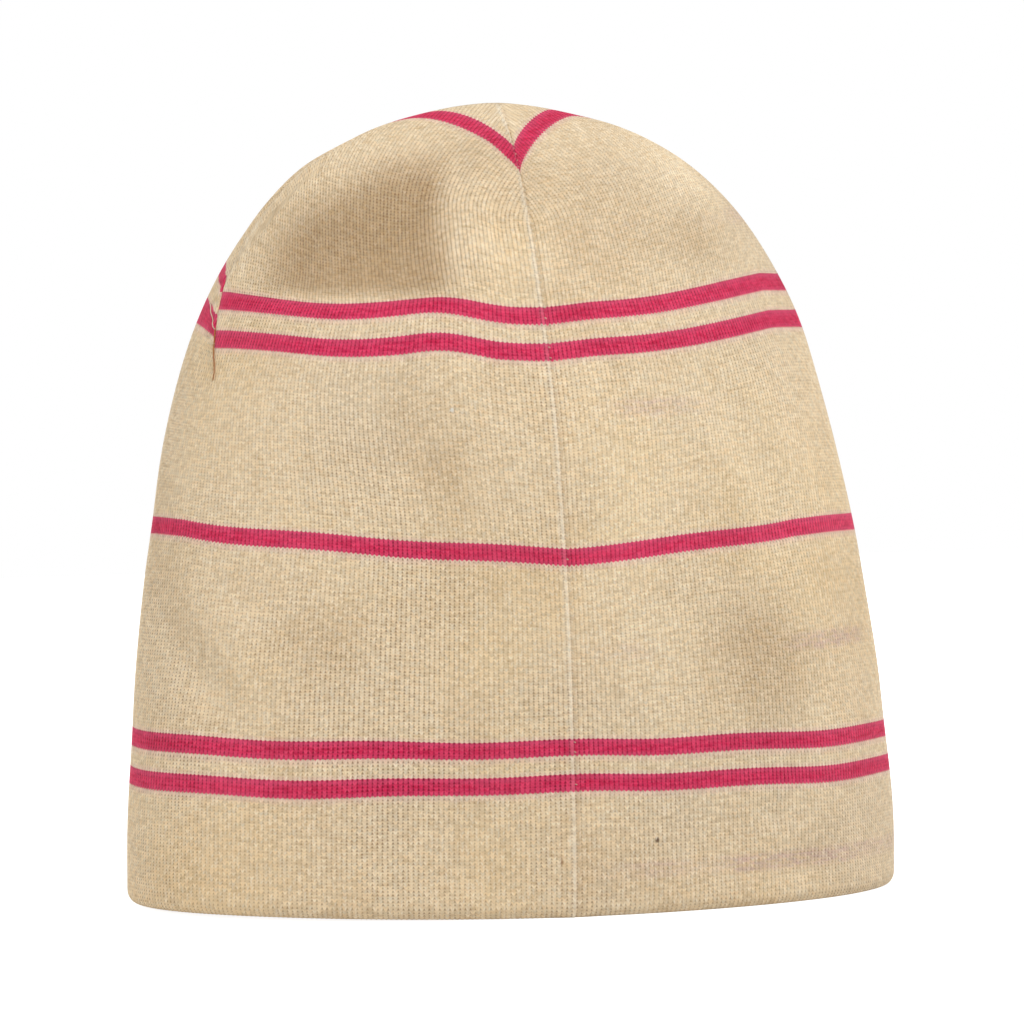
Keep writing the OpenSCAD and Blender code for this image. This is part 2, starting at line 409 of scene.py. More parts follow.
class Shell:
    """The outer shell as one grid of points, from which each band takes its rows."""

    def __init__(self):
        rings, self.spans, self.level = shell_rows()
        rows, cols = len(rings), len(COLUMNS)
        self.xyz = np.zeros((rows, cols, 3))
        self.s = np.zeros((rows, cols))
        self.phi = np.zeros((rows, cols))
        self.quarter = np.zeros(rows)
        self.base_row = self.spans["high_stripe_upper"][1]
        self.apex_row = rows - 1
        for r, ring in enumerate(rings):
            crowding = 0.19 * smooth(100, 155, self.level[r])
            if r > self.base_row:
                crowding = 0.19 * (1 - smooth(self.base_row, self.base_row + 30, r))
            length = ring["s"][-1] - ring["s"][0]
            at = column_share(crowding) * length
            self.s[r] = at
            for k, key in enumerate("xyz"):
                self.xyz[r, :, k] = np.interp(at, ring["s"], ring[key])
            self.phi[r] = np.interp(at, ring["s"], ring["phi"])
            self.quarter[r] = length / 4
        self.shift_courses()
        self.measure_fabric()

    def dart_distance(self, r, angle):
        """Signed distance in front of a dart, along row r."""
        at = float(angle(np.array(self.xyz[r, :, 2].mean())))
        order = np.argsort(self.phi[r])
        s_dart = np.interp(at, self.phi[r][order], self.s[r][order])
        return (self.s[r] - s_dart) if at > 0 else (s_dart - self.s[r])

    def shift_courses(self):
        """Moves each course to where it lies on this hat, and notes how far each point is from the darts."""
        rows = len(self.xyz)
        base = self.base_row
        self.past_left = np.array([self.dart_distance(r, left_dart_angle) for r in range(rows)])
        self.past_right = np.array([self.dart_distance(r, right_dart_angle) for r in range(rows)])
        half_way = 2 * self.quarter[:, None]
        self.past_front = np.where(self.s > 0, self.s - half_way, self.s + half_way)
        for r in range(rows):
            z = self.xyz[r, :, 2]
            share = max(0, r - base) / (self.spans["crown_body"][1] - base)
            row = min(r, base)
            level = z if r <= base else np.full_like(z, CROWN_BASE + 34 * min(share, 1.0))
            shift = course_shift(self.s[row], self.phi[row], level, self.past_left[row], self.past_right[row])
            shift *= 1 - smooth(0, 0.8, share)
            moved = np.minimum(z + shift, HEIGHT - 0.02)
            wide = half_width(moved) / np.maximum(half_width(z), 1e-6)
            deep = half_depth(moved) / np.maximum(half_depth(z), 1e-6)
            self.xyz[r, :, 0] *= np.where(shift == 0, 1, wide)
            self.xyz[r, :, 1] *= np.where(shift == 0, 1, deep)
            self.xyz[r, :, 2] = np.where(shift == 0, z, moved)

    def measure_fabric(self):
        """The knit's own coordinates: u counts wales round the hat and v counts courses up it."""
        wale = COLUMNS / 2
        signed = np.where(wale > WALES / 2, wale - WALES, wale)
        rows = len(self.xyz)
        self.u = np.tile(signed, (rows, 1))
        base = self.base_row
        order = np.argsort(self.s[base])
        base_s, base_u = self.s[base][order], signed[order]
        cut_start = np.argmin(np.abs(self.xyz[:, 0, 2] - BACK_DART_START))
        soft_start = 14
        for r in range(base + 1, rows):
            narrowed = max(0.0, self.quarter[cut_start] - self.quarter[r])
            cut = 0.5 * narrowed**2 / (narrowed + soft_start)
            away = np.abs(self.s[r])
            from_front = base_s[-1] - (2 * self.quarter[r] - away + cut)
            folded = np.where(away < self.quarter[r], away + cut, from_front)
            self.u[r] = np.sign(self.s[r] + 1e-9) * np.interp(folded, base_s, base_u)
        mid_quarter = np.argmin(np.abs(COLUMNS - WALES / 4))
        steps = np.linalg.norm(np.diff(self.xyz[:, mid_quarter], axis=0), axis=1)
        self.v = np.concatenate([[0], np.cumsum(steps)]) / COURSE + FOLD_HEIGHT / COURSE
        crown_steps = np.linalg.norm(np.diff(self.xyz[base:], axis=0), axis=2)
        along_column = np.cumsum(crown_steps, axis=0) / COURSE + self.v[base]
        self.v_knit = np.repeat(self.v[:, None], len(COLUMNS), axis=1)
        own_column = 0.6
        self.v_knit[base + 1 :] += own_column * (along_column - self.v_knit[base + 1 :])

    def finish(self):
        """Adds dents, seam relief and the knit's ridges, all along the surface normal."""
        x, y, z = np.moveaxis(self.xyz, -1, 0)
        phi = np.arctan2(x / half_width(z).clip(1e-6), -y / half_depth(z).clip(1e-6))
        base, _, _ = base_frame(phi, z)
        base[-1] = (0, 0, 1)
        # The amounts of painted shade and painted light for the shell's material.
        self.painted_shade_and_light = painted_shade_and_light(self.s, z)
        self.soft_xyz = self.xyz + base * dents(self.s, z)[..., None]
        self.normal = dented_normal(self.s, phi, z)
        self.normal[-1] = (0, 0, 1)
        ridge_fade = 1 - smooth(150, 168, self.level)
        ridge_fade[self.base_row :] = 0
        relief = self.seam_relief(z) - RIDGE * np.cos(2 * math.pi * self.u) * ridge_fade[:, None]
        self.xyz = self.soft_xyz + self.normal * relief[..., None]
        self.tooth_edges()

    def seam_relief(self, z):
        """The raised and sunk sides of the seams, and the small pleats in front of the left dart."""
        s = self.s
        up_to_apex = 1 - smooth(214, 221, z)
        back = 0.3 * bell(s, -0.85, 0.6) - 0.24 * bell(s, 0.35, 0.4) + 0.4 * bell(s, -0.5, 4.5)
        relief = back * up_to_apex
        on = on_side_darts(z) * up_to_apex
        for past in (self.past_left, self.past_right):
            relief += (0.3 * bell(past, 1.8, 1.2) - 0.4 * bell(past, 0.2, 0.8) + 0.5 * bell(past, 0, 5)) * on
        pleat = np.sin(2 * math.pi * (z + 0.2 * self.past_left) / 4.6)
        pleat_reach = smooth(0, 1.5, self.past_left) * (1 - smooth(2, 12, self.past_left))
        relief += 0.3 * pleat * pleat_reach * smooth(142, 148, z) * (1 - smooth(172, 180, z))
        front = np.abs(self.past_front)
        on = smooth(186, 191, z) * up_to_apex
        return relief + (0.3 * bell(front, 1.6, 1.1) - 0.45 * bell(front, 0, 0.9)) * on

    def tooth_edges(self):
        """At each colour change the new course's loops point down at the middle of every wale."""
        up = unit(np.gradient(self.soft_xyz, axis=0))
        tooth = np.cos(2 * math.pi * self.u)
        for name, (_, last) in self.spans.items():
            depth = 0.19 if "stripe" in name else 0.27
            if last < self.apex_row:
                self.xyz[last] += up[last] * depth * tooth[last][:, None]


# ---------------------------------------------------------------- meshes


def grid_faces(rows, cols, close_rows):
    """Quads of a grid that closes round its columns, and round its rows where close_rows is set."""
    r = np.arange(rows if close_rows else rows - 1)
    c = np.arange(cols)
    rr, cc = np.meshgrid(r, c, indexing="ij")
    below = rr * cols
    above = ((rr + 1) % rows) * cols
    right = (cc + 1) % cols
    return np.stack([below + cc, below + right, above + right, above + cc], -1).reshape(-1, 4)


def make_mesh(name, verts, faces, uvs=None, sharp_loops=()):
    """A mesh object from points in millimetres. uvs holds one (u, v) per vertex for each named map."""
    mesh = bpy.data.meshes.new(name)
    flat = [tuple(int(i) for i in f) for f in faces]
    mesh.from_pydata((np.asarray(verts) * MM).tolist(), [], flat)
    mesh.update()
    loops = np.zeros(len(mesh.loops), np.int32)
    mesh.loops.foreach_get("vertex_index", loops)
    for map_name, values in (uvs or {}).items():
        layer = mesh.uv_layers.new(name=map_name)
        layer.data.foreach_set("uv", unwrapped(values, loops, mesh).astype(np.float32).ravel())
    mesh.polygons.foreach_set("use_smooth", [True] * len(mesh.polygons))
    if len(sharp_loops):
        mark_sharp(mesh, sharp_loops)
    obj = bpy.data.objects.new(name, mesh)
    bpy.context.scene.collection.objects.link(obj)
    return obj


def unwrapped(values, loops, mesh):
    """Per-corner values. A face across the wrap at the front gets its far corners moved by one turn."""
    per_loop = np.asarray(values)[loops]
    totals = np.zeros(len(mesh.polygons), np.int32)
    starts = np.zeros(len(mesh.polygons), np.int32)
    mesh.polygons.foreach_get("loop_total", totals)
    mesh.polygons.foreach_get("loop_start", starts)
    highest = np.repeat(np.maximum.reduceat(per_loop[:, 0], starts), totals)
    crossing = highest - per_loop[:, 0] > WALES / 2
    per_loop[:, 0] += np.where(crossing, WALES, 0)
    return per_loop


def mark_sharp(mesh, sharp_loops):
    """Marks the edges that run along the given rings of vertices as sharp."""
    sharp = set()
    for ring in sharp_loops:
        for a, b in zip(ring, np.roll(ring, -1)):
            sharp.add((min(int(a), int(b)), max(int(a), int(b))))
    pairs = np.zeros(len(mesh.edges) * 2, np.int32)
    mesh.edges.foreach_get("vertices", pairs)
    pairs = np.sort(pairs.reshape(-1, 2), axis=1)
    flags = [(int(a), int(b)) in sharp for a, b in pairs]
    attribute = mesh.attributes.get("sharp_edge") or mesh.attributes.new("sharp_edge", "BOOLEAN", "EDGE")
    attribute.data.foreach_set("value", flags)


def seam_map(shell, rows):
    """How close each point is to the raised side of a seam, and to the sunk side, from 0 to 1."""
    raised = bell(shell.s, -0.8, 0.75)
    sunk = bell(shell.s, 0.55, 0.8)
    on_left = on_side_darts(shell.xyz[..., 2])
    raised = raised + bell(shell.past_left, -0.9, 0.9) * on_left * 0.5
    sunk = sunk + bell(shell.past_left, 0.4, 0.9) * on_left
    return np.stack([raised[rows], sunk[rows]], -1).reshape(-1, 2)


# The amounts of painted shade and painted light, as a UV map.
def painted_shade_and_light_map(shell, rows):
    values = shell.painted_shade_and_light[rows].reshape(-1)
    return np.stack([values, values], -1)


FAR_FROM_EDGE = 20.0


def edge_map(shell, rows, first, last):
    """Distance in courses above the band's lower edge and below its upper edge."""
    from_low = np.abs(shell.v[rows] - shell.v[first]) if first > 0 else np.full(len(rows), FAR_FROM_EDGE)
    top = last < shell.apex_row
    from_high = np.abs(shell.v[last] - shell.v[rows]) if top else np.full(len(rows), FAR_FROM_EDGE)
    pair = np.minimum(np.stack([from_low, from_high], -1), FAR_FROM_EDGE)
    return np.repeat(pair[:, None], len(COLUMNS), axis=1).reshape(-1, 2)


def shell_band(shell, name):
    """One band of the outer shell, closed: its knitted outside, its plain inside and its two edges."""
    first, last = shell.spans[name]
    cols = len(COLUMNS)
    outside = shell.xyz[first : last + 1]
    inner_rows = sorted({first, last} | set(range(first, last, 6)), reverse=True)
    inside = shell.soft_xyz[inner_rows] - shell.normal[inner_rows] * LAYER
    points = np.concatenate([outside, inside]).reshape(-1, 3)
    u = np.concatenate([shell.u[first : last + 1], shell.u[inner_rows]])
    v = np.concatenate([shell.v_knit[first : last + 1], shell.v_knit[inner_rows]])
    knit = np.stack([u, v], -1).reshape(-1, 2)
    rows = list(range(first, last + 1)) + list(inner_rows)
    rows_out, rows_all = last - first + 1, len(rows)
    faces = grid_faces(rows_all, cols, close_rows=True)
    rings = [np.arange(cols) + k * cols for k in (0, rows_out - 1, rows_out, rows_all - 1)]
    maps = {
        "Knit": knit,
        "Seam": seam_map(shell, rows),
        "Edge": edge_map(shell, rows, first, last),
        "PaintedShadeAndLight": painted_shade_and_light_map(shell, rows),
    }
    return make_mesh(name, points, faces, maps, rings)


def two_domes(rows_out, rows_in, cols):
    """Faces of an upper and an under dome joined at their rims. Each one's apex follows all the rings."""
    start_in, low_in = rows_out * cols, (rows_out + rows_in - 1) * cols
    top = start_in - cols
    apex = start_in + rows_in * cols
    faces = grid_faces(rows_out, cols, False).tolist()
    faces += (grid_faces(rows_in, cols, False) + start_in).tolist()
    for c in range(cols):
        n = (c + 1) % cols
        faces.append([top + c, top + n, apex])
        faces.append([start_in + n, start_in + c, apex + 1])
        faces.append([low_in + c, low_in + n, n, c])
    return faces, [np.arange(cols), np.arange(cols) + low_in]


def crown_tip_mesh(shell):
    """The crown's closed tip: as a band, but its last ring closes on a point outside and inside."""
    first, last = shell.spans["crown_tip"]
    outside = shell.xyz[first:last]
    inner_rows = list(range(last - 1, first, -4)) + [first]
    inside = shell.soft_xyz[inner_rows] - shell.normal[inner_rows] * LAYER
    apex = shell.xyz[last].mean(axis=0)
    under = apex - np.array([0, 0, LAYER])
    points = np.concatenate([outside.reshape(-1, 3), inside.reshape(-1, 3), [apex, under]])
    faces, rings = two_domes(len(outside), len(inside), len(COLUMNS))
    u = np.concatenate([shell.u[first:last].ravel(), shell.u[inner_rows].ravel(), [0, 0]])
    v_rows = np.concatenate([shell.v_knit[first:last].ravel(), shell.v_knit[inner_rows].ravel()])
    v = np.concatenate([v_rows, [shell.v[last], shell.v[last]]])
    rows = list(range(first, last)) + inner_rows
    ends = np.zeros((2, 2))
    maps = {
        "Knit": np.stack([u, v], -1),
        "Seam": np.concatenate([seam_map(shell, rows), ends]),
        "Edge": np.concatenate([edge_map(shell, rows, first, last), ends + FAR_FROM_EDGE]),
        "PaintedShadeAndLight": np.concatenate([painted_shade_and_light_map(shell, rows), ends]),
    }
    return make_mesh("crown_tip", points, faces, maps, rings)


def hem_fold_mesh(shell):
    """The folded edge: the shell turns under in a soft round and comes up inside as the lining."""
    cols = len(COLUMNS)
    foot = shell.xyz[0]
    foot_soft = shell.soft_xyz[0]
    normal = unit(shell.normal[0] * np.array([1, 1, 0]))
    relief = np.sum((foot - foot_soft) * shell.normal[0], axis=1)
    half = LINING_INNER / 2
    turn = np.linspace(0, math.pi, 17)
    rows, knit_v = [], []
    for angle in turn:
        out = half * math.cos(angle) - half
        drop = FOLD_HEIGHT * math.sin(angle) ** 0.8
        ridge = relief * (1 - 0.5 * angle / math.pi)
        direction = normal * math.cos(angle) + np.array([0, 0, -math.sin(angle)])
        point = foot_soft + normal * out
        point = point + np.array([0, 0, -1.0]) * drop
        rows.append(point + direction * ridge[:, None])
        knit_v.append(FOLD_HEIGHT * (1 - 1.875 * math.sin(angle / 2)) / COURSE)
    channel = half - LAYER
    for angle in np.linspace(math.pi, 0, 7):
        out = channel * math.cos(angle) - half
        drop = (FOLD_HEIGHT - LAYER) * math.sin(angle)
        rows.append(foot_soft + normal * out + np.array([0, 0, -1.0]) * drop)
        knit_v.append(0.0)
    points = np.array(rows)
    points[..., 2] = np.maximum(points[..., 2], RESTING_HEIGHT)
    v = np.repeat(np.array(knit_v)[:, None], cols, 1)
    u = np.tile(shell.u[0], (len(rows), 1))
    outside_rows = len(turn)
    rings = [np.arange(cols) + k * cols for k in (0, outside_rows - 1, outside_rows, len(rows) - 1)]
    faces = grid_faces(len(rows), cols, close_rows=True)[:, ::-1]
    maps = {
        "Knit": np.stack([u, v], -1).reshape(-1, 2),
        "Seam": seam_map(shell, [0] * len(rows)),
        "Edge": np.full((len(rows) * cols, 2), FAR_FROM_EDGE),
        "PaintedShadeAndLight": painted_shade_and_light_map(shell, [0] * len(rows)),
    }
    return make_mesh("hem_fold", points.reshape(-1, 3), faces, maps, rings)


LINING_COLUMNS = 320


def lining_ring(z, inset):
    """One ring of the lining, pushed in with the shell's dents, and its place round the hat in wales."""
    ring = level_ring(min(z, HEIGHT - inset - 0.01), inset, 1200)
    share = np.arange(LINING_COLUMNS) / LINING_COLUMNS
    share = np.where(share > 0.5, share - 1, share)
    s = share * (ring["s"][-1] - ring["s"][0])
    x, y = np.interp(s, ring["s"], ring["x"]), np.interp(s, ring["s"], ring["y"])
    radius = np.hypot(x, y).clip(1e-6)
    level = np.full_like(s, z)
    soft = dents(s, level) * smooth(6, 20, z) - 3.0 * hollow(s, level, 158, 181, 214)
    x, y = x * (1 + soft / radius), y * (1 + soft / radius)
    return np.stack([x, y, np.full_like(x, ring["z"][0])], -1), share * WALES


def lining_band(name, low, high):
    """One ring of the lining. Its knitted face is towards the head."""
    zs = spread_rows(low, min(high, HEIGHT - LINING_OUTER), 2.3)
    faces_in = [lining_ring(z, LINING_INNER) for z in zs]
    backs = [lining_ring(z, LINING_OUTER) for z in zs[::-4]]
    if backs[-1][0][0, 2] > zs[0] + 0.01:
        backs.append(lining_ring(zs[0], LINING_OUTER))
    rows = [p for p, _ in faces_in] + [p for p, _ in backs]
    u = np.array([w for _, w in faces_in] + [w for _, w in backs])
    v = np.array(zs + [zs[-1]] * len(backs)) / COURSE
    cols = LINING_COLUMNS
    points = np.array(rows).reshape(-1, 3)
    knit = np.stack([u, np.repeat(v[:, None], cols, 1)], -1).reshape(-1, 2)
    faces = grid_faces(len(rows), cols, close_rows=True)[:, ::-1]
    k = len(faces_in)
    rings = [np.arange(cols) + n * cols for n in (0, k - 1, k, len(rows) - 1)]
    return make_mesh(name, points, faces, {"Knit": knit}, rings)


def lining_crown_mesh(low):
    """The lining's closed crown, a dome inside the shell's."""
    cols = LINING_COLUMNS
    steps = np.linspace(0, 1, 26)[:-1]

    def dome(inset, shares):
        return [lining_ring(low + (HEIGHT - inset - low) * math.sin(math.pi / 2 * t), inset) for t in shares]

    inside = dome(LINING_INNER, steps)
    outside = dome(LINING_OUTER, steps[::-3])
    rows = [p for p, _ in inside] + [p for p, _ in outside]
    points = np.array(rows).reshape(-1, 3)
    apex_in = [0, 0, HEIGHT - LINING_INNER]
    apex_out = [0, 0, HEIGHT - LINING_OUTER]
    points = np.concatenate([points, [apex_in, apex_out]])
    faces, rings = two_domes(len(inside), len(outside), cols)
    faces = [face[::-1] for face in faces]
    u = np.concatenate([w for _, w in inside] + [w for _, w in outside] + [[0, 0]])
    v_in = [(low + (HEIGHT - low) * t * 1.3) / COURSE for t in steps]
    v = np.concatenate([np.repeat(v_in, cols), np.full(len(outside) * cols + 2, v_in[-1])])
    return make_mesh("lining_crown", points, faces, {"Knit": np.stack([u, v], -1)}, rings)


# ---------------------------------------------------------------- seams and threads


def tube(path, radius, sides=6):
    """Points and faces of a closed round tube along a path, with its radius at each point."""
    path = np.asarray(path, float)
    radius = np.broadcast_to(radius, (len(path),))
    tangent = unit(np.gradient(path, axis=0))
    helper = np.array([0.0, 0.0, 1.0]) if abs(tangent[0][2]) < 0.8 else np.array([0.0, 1.0, 0.0])
    side = unit(np.cross(tangent, helper))
    other = np.cross(tangent, side)
    angle = 2 * math.pi * np.arange(sides) / sides
    rings = path[:, None] + radius[:, None, None] * (
        side[:, None] * np.cos(angle)[None, :, None] + other[:, None] * np.sin(angle)[None, :, None]
    )
    points = np.concatenate([rings.reshape(-1, 3), [path[0], path[-1]]])
    faces = grid_faces(len(path), sides, False).tolist()
    start, end, top = len(points) - 2, len(points) - 1, (len(path) - 1) * sides
    for k in range(sides):
        n = (k + 1) % sides
        faces.append([n, k, start])
        faces.append([top + k, top + n, end])
    return points, faces


def join(parts):
    """Several (points, faces) pairs as one."""
    points, faces, offset = [], [], 0
    for p, f in parts:
        points.append(p)
        faces += [[i + offset for i in face] for face in f]
        offset += len(p)
    return np.concatenate(points), faces


def smoothed(values):
    """Each row averaged with its neighbours."""
    padded = np.concatenate([values[:1], values[:1], values, values[-1:], values[-1:]])
    return (padded[:-4] + padded[1:-3] + padded[2:-2] + padded[3:-1] + padded[4:]) / 5


def seam_line(shell, past, low, high, inset, centre=0.0, grid=None):
    """Points along a seam, row by row, with the surface's outward and sideways directions there."""
    grid = shell.soft_xyz if grid is None else grid
    points, normals = [], []
    for r in range(len(grid) - 3):
        order = np.argsort(past[r])
        at = [np.interp(centre, past[r][order], grid[r, order, k]) for k in range(3)]
        if not low <= at[2] <= high:
            continue
        points.append(at)
        normals.append(shell.normal[r, int(np.argmin(np.abs(past[r] - centre)))])
    points, normals = np.array(points), unit(smoothed(np.array(normals)))
    sides = unit(np.cross(smoothed(np.gradient(points, axis=0)), normals))
    return list(zip(points - normals * inset, normals, sides))


def narrowing(z):
    """The allowances get narrower where the crown closes."""
    return 1 - 0.6 * float(smooth(188, 212, z))


def allowance_strip(line, width, thickness):
    """A flat folded allowance with the wavy edge that overlocking gives, as a closed strip."""
    across = np.array([-1.0, -0.55, 0.0, 0.55, 1.0])
    rows = []
    for k, (at, normal, side) in enumerate(line):
        half = width / 2 * (1 + 0.06 * math.sin(k * 1.9)) * narrowing(at[2])
        upper = [at + side * (a * half) + normal * thickness / 2 * (1 - 0.3 * abs(a)) for a in across]
        lower = [at + side * (a * half) - normal * thickness / 2 * (1 - 0.3 * abs(a)) for a in across[::-1]]
        rows.append(upper + lower)
    points = np.array(rows).reshape(-1, 3)
    cols = len(across) * 2
    faces = grid_faces(len(rows), cols, False).tolist()
    top = (len(rows) - 1) * cols
    faces.append(list(range(cols))[::-1])
    faces.append(list(range(top, top + cols)))
    return points, faces


def evenly(line, pitch):
    """The steps of a seam line that lie one pitch apart, each as its two points."""
    travelled = 0.0
    for here, there in zip(line, line[1:]):
        travelled += float(np.linalg.norm(there[0] - here[0]))
        if travelled >= pitch:
            travelled = 0.0
            yield here, there


def overlock_loops(line, full_width, radius, pitch):
    """The overlock thread: loops that wrap the allowance's edges at an even pitch."""
    parts = []
    for (a, na, sa), (b, _, _) in evenly(line, pitch):
        width = full_width * narrowing(a[2])
        up = unit(b - a) * pitch * 0.45
        for sign in (-1, 1):
            edge = a + sa * sign * width / 2
            path = [
                a + na * 0.42 + sa * sign * width * 0.22 - up,
                edge + na * 0.36 - sa * sign * 0.3,
                edge + sa * sign * 0.12,
                edge - na * 0.36 - sa * sign * 0.3,
                a - na * 0.42 + sa * sign * width * 0.22 + up,
            ]
            parts.append(tube(path, radius, 5))
    return join(parts)


def rungs(shell, past, low, high, pitch, centre, reach, radius):
    """Short seam stitches that show in the groove on the outside."""
    parts = []
    for _, (at, normal, side) in evenly(seam_line(shell, past, low, high, 0.0, centre, shell.xyz), pitch):
        up = unit(np.cross(normal, side))
        path = [
            at - side * reach - normal * 0.25 + up * 0.25,
            at - side * reach * 0.5 + normal * 0.08 + up * 0.1,
            at + side * reach * 0.5 + normal * 0.08 - up * 0.1,
            at + side * reach - normal * 0.25 - up * 0.25,
        ]
        parts.append(tube(path, radius, 5))
    return join(parts)


# ---------------------------------------------------------------- materials


class Shader:
    """Short calls that add nodes to one material."""

    def __init__(self, name):
        self.material = bpy.data.materials.new(name)
        self.material.use_nodes = True
        self.tree = self.material.node_tree
        self.tree.nodes.clear()
        self.out = self.tree.nodes.new("ShaderNodeOutputMaterial")

    def put(self, socket, value):
        if isinstance(value, bpy.types.NodeSocket):
            self.tree.links.new(value, socket)
        else:
            socket.default_value = value

    def math(self, operation, a, b=None, c=None):
        node = self.tree.nodes.new("ShaderNodeMath")
        node.operation = operation
        for i, value in enumerate((a, b, c)):
            if value is not None:
                self.put(node.inputs[i], value)
        return node.outputs[0]

    def times(self, a, b):
        return self.math("MULTIPLY", a, b)

    def minus(self, a, b):
        return self.math("SUBTRACT", a, b)

    def line(self, value, slope, start):
        return self.math("MULTIPLY_ADD", value, slope, start)

    def vector(self, operation, a, b):
        """A vector maths node: its numeric result for a distance, and its vector otherwise."""
        node = self.tree.nodes.new("ShaderNodeVectorMath")
        node.operation = operation
        self.put(node.inputs[0], a)
        self.put(node.inputs["Scale" if operation == "SCALE" else 1], b)
        return node.outputs["Value" if operation == "DISTANCE" else "Vector"]

    def ramp(self, value, low, high, to_low=0.0, to_high=1.0):
        node = self.tree.nodes.new("ShaderNodeMapRange")
        node.interpolation_type = "SMOOTHSTEP"
        for i, v in enumerate((value, low, high, to_low, to_high)):
            self.put(node.inputs[i], v)
        return node.outputs[0]

    def mix(self, share, a, b):
        node = self.tree.nodes.new("ShaderNodeMix")
        node.data_type = "RGBA"
        self.put(node.inputs["Factor"], share)
        self.put(node.inputs[6], a)
        self.put(node.inputs[7], b)
        return node.outputs[2]

    def paint_warm_shade(self, colour, share):
        """Painted shade: darkens a colour by a share, its blue most and its red least, so that the shade is
        warm. A share below zero paints light.
        """
        kept = [self.line(share, -pull, 1.0) for pull in (1.0, 1.2, 1.4)]
        return self.vector("MULTIPLY", colour, self.join_xyz(*kept))

    def join_xyz(self, x, y, z=0.0):
        node = self.tree.nodes.new("ShaderNodeCombineXYZ")
        for i, v in enumerate((x, y, z)):
            self.put(node.inputs[i], v)
        return node.outputs[0]

    def split(self, vector):
        node = self.tree.nodes.new("ShaderNodeSeparateXYZ")
        self.put(node.inputs[0], vector)
        return node.outputs

    def noise(self, vector, scale, detail=2.0, roughness=0.5):
        node = self.tree.nodes.new("ShaderNodeTexNoise")
        self.put(node.inputs["Vector"], vector)
        node.inputs["Scale"].default_value = scale
        node.inputs["Detail"].default_value = detail
        node.inputs["Roughness"].default_value = roughness
        return node.outputs[0]

    def white(self, vector):
        node = self.tree.nodes.new("ShaderNodeTexWhiteNoise")
        self.put(node.inputs["Vector"], vector)
        return node.outputs[0]

    def uv(self, name):
        node = self.tree.nodes.new("ShaderNodeUVMap")
        node.uv_map = name
        return self.split(node.outputs[0])

    def object_place(self):
        return self.tree.nodes.new("ShaderNodeTexCoord").outputs["Object"]

    def surface(self, colour, roughness, height, bump_distance, bump_strength, sheen):
        shader = self.tree.nodes.new("ShaderNodeBsdfPrincipled")
        self.put(shader.inputs["Base Color"], colour)
        self.put(shader.inputs["Roughness"], roughness)
        shader.inputs["Specular IOR Level"].default_value = 0.2
        shader.inputs["Sheen Weight"].default_value = sheen
        shader.inputs["Sheen Roughness"].default_value = 0.5
        bump = self.tree.nodes.new("ShaderNodeBump")
        bump.inputs["Strength"].default_value = bump_strength
        bump.inputs["Distance"].default_value = bump_distance
        self.put(bump.inputs["Height"], height)
        self.tree.links.new(bump.outputs[0], shader.inputs["Normal"])
        self.tree.links.new(shader.outputs[0], self.out.inputs["Surface"])
        return self.material


def srgb(r, g, b):
    """A colour given as the eye sees it, 0 to 255, as the linear values that a shader takes."""
    shares = [c / 255 for c in (r, g, b)]
    return tuple(((c + 0.055) / 1.055) ** 2.4 if c > 10 / 255 else c / 12.92 for c in shares) + (1.0,)


def stitches(sh, looseness):
    """The jersey stitch from the knit's own coordinates: height, the grooves between wales, and the holes."""
    u, v, _ = sh.uv("Knit")
    waver = sh.noise(sh.join_xyz(u, v), 0.35, 2.0)
    waver2 = sh.noise(sh.join_xyz(v, u, 3.7), 0.45, 2.0)
    u = sh.math("ADD", u, sh.times(sh.minus(waver, 0.5), looseness))
    v = sh.math("ADD", v, sh.times(sh.minus(waver2, 0.5), looseness * 1.3))
    across = sh.math("ABSOLUTE", sh.minus(sh.math("FRACT", u), 0.5))
    slanted = sh.minus(v, sh.times(across, 1.5))
    course = sh.math("FRACT", slanted)
    leg = sh.times(sh.times(course, sh.minus(1.0, course)), 4.0)
    outer = sh.ramp(across, 0.2, 0.5, 1.0, 0.0)
    centre = sh.ramp(across, 0.0, 0.2, 0.75, 1.0)
    wale = sh.times(outer, centre)
    groove = sh.ramp(across, 0.3, 0.5)
    hole_cell = sh.join_xyz(sh.math("FLOOR", sh.math("ADD", u, 0.5)), sh.math("ROUND", slanted), 5.0)
    draw = sh.white(hole_cell)
    hole_size = sh.line(draw, 0.6, 0.55)
    aside = sh.math("DIVIDE", sh.minus(0.5, across), 0.27)
    apart = sh.math("DIVIDE", sh.math("MINIMUM", course, sh.minus(1.0, course)), 0.34)
    away = sh.math("SQRT", sh.math("ADD", sh.times(aside, aside), sh.times(apart, apart)))
    hole = sh.ramp(sh.math("DIVIDE", away, hole_size), 0.25, 1.1, 1.0, 0.0)
    height = sh.times(wale, sh.line(leg, 0.35, 0.65))
    height = sh.minus(height, sh.times(hole, 0.35))
    cell = sh.join_xyz(sh.math("FLOOR", u), sh.math("FLOOR", slanted))
    half = sh.math("GREATER_THAN", sh.math("FRACT", u), 0.5)
    leg_cell = sh.join_xyz(sh.line(half, 0.5, sh.math("FLOOR", u)), sh.math("FLOOR", slanted), 9.0)
    # Painted highlight: a light dash on some stitch legs.
    glint = sh.times(sh.times(leg, outer), sh.ramp(sh.white(leg_cell), 0.45, 1.0))
    return {
        "u": u,
        "v": v,
        "height": height,
        "groove": groove,
        "hole": hole,
        "leg": leg,
        "cell": cell,
        "glint": glint,
    }
